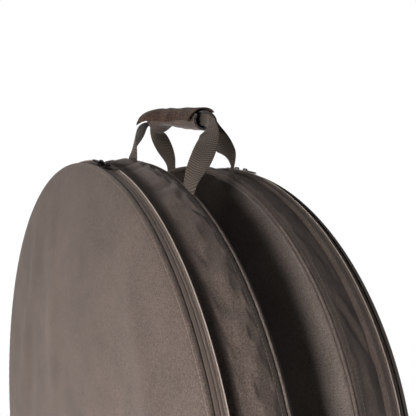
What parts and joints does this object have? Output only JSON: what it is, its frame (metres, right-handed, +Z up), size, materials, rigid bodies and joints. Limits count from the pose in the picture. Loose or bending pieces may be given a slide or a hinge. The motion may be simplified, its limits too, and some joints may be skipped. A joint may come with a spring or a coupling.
{
  "type": "bike wheel bag",
  "caption": "Pair of padded round bicycle wheel bags standing side by side, each with a zipped lid and a webbing handle, held together by one padded handle wrap.",
  "frame": {"origin": "on the floor, in the middle of the pair's bounding box", "axes": "+Z up; X runs along the axes of both discs, the left bag on the -X side; the handle stands nearer to -Y, the front"},
  "size_m": [0.2988, 0.8028, 0.8309],
  "materials": {
    "shell_fabric": "padded woven polyester, matt taupe grey",
    "piping_fabric": "bound edge cord, woven cover",
    "foam_padding": "foam with a knitted lining",
    "hub_guard_sheet": "stiff guard sheet",
    "zip_tape": "woven zip tape",
    "zip_coil": "nylon zip coil",
    "slider_metal": "cast zip slider, dull coating",
    "webbing": "ribbed polyester webbing",
    "wrap_fabric": "padded woven handle wrap",
    "loop_fabric": "fuzzy loop fabric",
    "hook_tape": "moulded hook tape"
  },
  "bodies": {
    "pair": {"left_gusset": "shell_fabric", "left_gusset_padding": "foam_padding", "left_handle_webbing": "webbing", "left_inner_hub_guard": "hub_guard_sheet", "left_inner_padding": "foam_padding", "left_inner_panel": "shell_fabric", "left_inner_piping": "piping_fabric", "left_lower_padding": "foam_padding", "left_lower_panel": "shell_fabric", "left_seam_strip": "shell_fabric", "left_zip_coil_fixed": "zip_coil", "left_zip_end_tab_front": "webbing", "left_zip_end_tab_rear": "webbing", "left_zip_tape_fixed": "zip_tape", "right_gusset": "shell_fabric", "right_gusset_padding": "foam_padding", "right_handle_webbing": "webbing", "right_inner_hub_guard": "hub_guard_sheet", "right_inner_padding": "foam_padding", "right_inner_panel": "shell_fabric", "right_inner_piping": "piping_fabric", "right_lower_padding": "foam_padding", "right_lower_panel": "shell_fabric", "right_seam_strip": "shell_fabric", "right_zip_coil_fixed": "zip_coil", "right_zip_end_tab_front": "webbing", "right_zip_end_tab_rear": "webbing", "right_zip_tape_fixed": "zip_tape", "wrap_hem": "wrap_fabric", "wrap_lining": "loop_fabric", "wrap_loop_strip": "loop_fabric", "wrap_sleeve": "wrap_fabric"},
    "left_lid": {"left_lid_panel": "shell_fabric", "left_lid_padding": "foam_padding", "left_lid_hub_guard": "hub_guard_sheet", "left_zip_tape_lid": "zip_tape", "left_zip_coil_lid": "zip_coil"},
    "left_front_slider": {"left_slider_front": "slider_metal"},
    "left_front_pull": {"left_pull_front": "slider_metal"},
    "left_rear_slider": {"left_slider_rear": "slider_metal"},
    "left_rear_pull": {"left_pull_rear": "slider_metal"},
    "right_lid": {"right_lid_panel": "shell_fabric", "right_lid_padding": "foam_padding", "right_lid_hub_guard": "hub_guard_sheet", "right_zip_tape_lid": "zip_tape", "right_zip_coil_lid": "zip_coil"},
    "right_front_slider": {"right_slider_front": "slider_metal"},
    "right_front_pull": {"right_pull_front": "slider_metal"},
    "right_rear_slider": {"right_slider_rear": "slider_metal"},
    "right_rear_pull": {"right_pull_rear": "slider_metal"},
    "flap": {"wrap_flap": "wrap_fabric", "wrap_hook_strip": "hook_tape"}
  },
  "joints": [
    {"name": "left_lid_hinge", "type": "hinge", "parent": "pair", "child": "left_lid", "pos_m": [-0.14892, 0.01225, 0.25555], "axis": [0, -0.9617, -0.274], "range_deg": [0, 110]},
    {"name": "left_front_slider_travel", "type": "hinge", "parent": "pair", "child": "left_front_slider", "pos_m": [-0.123, -0.0195, 0.367], "axis": [1, 0, 0], "range_deg": [0, 104.7]},
    {"name": "left_front_pull_pivot", "type": "hinge", "parent": "left_front_slider", "child": "left_front_pull", "pos_m": [-0.123, -0.11536, 0.7329], "axis": [-1, 0, 0], "range_deg": [0, 100]},
    {"name": "left_rear_slider_travel", "type": "hinge", "parent": "pair", "child": "left_rear_slider", "pos_m": [-0.123, -0.0195, 0.367], "axis": [-1, 0, 0], "range_deg": [0, 98.9]},
    {"name": "left_rear_pull_pivot", "type": "hinge", "parent": "left_rear_slider", "child": "left_rear_pull", "pos_m": [-0.123, -0.09374, 0.73789], "axis": [1, 0, 0], "range_deg": [0, 100]},
    {"name": "right_lid_hinge", "type": "hinge", "parent": "pair", "child": "right_lid", "pos_m": [0.14892, 0.03322, 0.25193], "axis": [0, 0.993, 0.1184], "range_deg": [0, 110]},
    {"name": "right_front_slider_travel", "type": "hinge", "parent": "pair", "child": "right_front_slider", "pos_m": [0.123, 0.0195, 0.367], "axis": [1, 0, 0], "range_deg": [0, 99.5]},
    {"name": "right_front_pull_pivot", "type": "hinge", "parent": "right_front_slider", "child": "right_front_pull", "pos_m": [0.123, -0.05125, 0.73857], "axis": [-1, 0, 0], "range_deg": [0, 100]},
    {"name": "right_rear_slider_travel", "type": "hinge", "parent": "pair", "child": "right_rear_slider", "pos_m": [0.123, 0.0195, 0.367], "axis": [-1, 0, 0], "range_deg": [0, 104.1]},
    {"name": "right_rear_pull_pivot", "type": "hinge", "parent": "right_rear_slider", "child": "right_rear_pull", "pos_m": [0.123, -0.02934, 0.74208], "axis": [1, 0, 0], "range_deg": [0, 100]},
    {"name": "flap_hinge", "type": "hinge", "parent": "pair", "child": "flap", "pos_m": [0.00994, -0.06994, 0.81774], "axis": [0, 0.9914, 0.1305], "range_deg": [0, 150]}
  ]
}
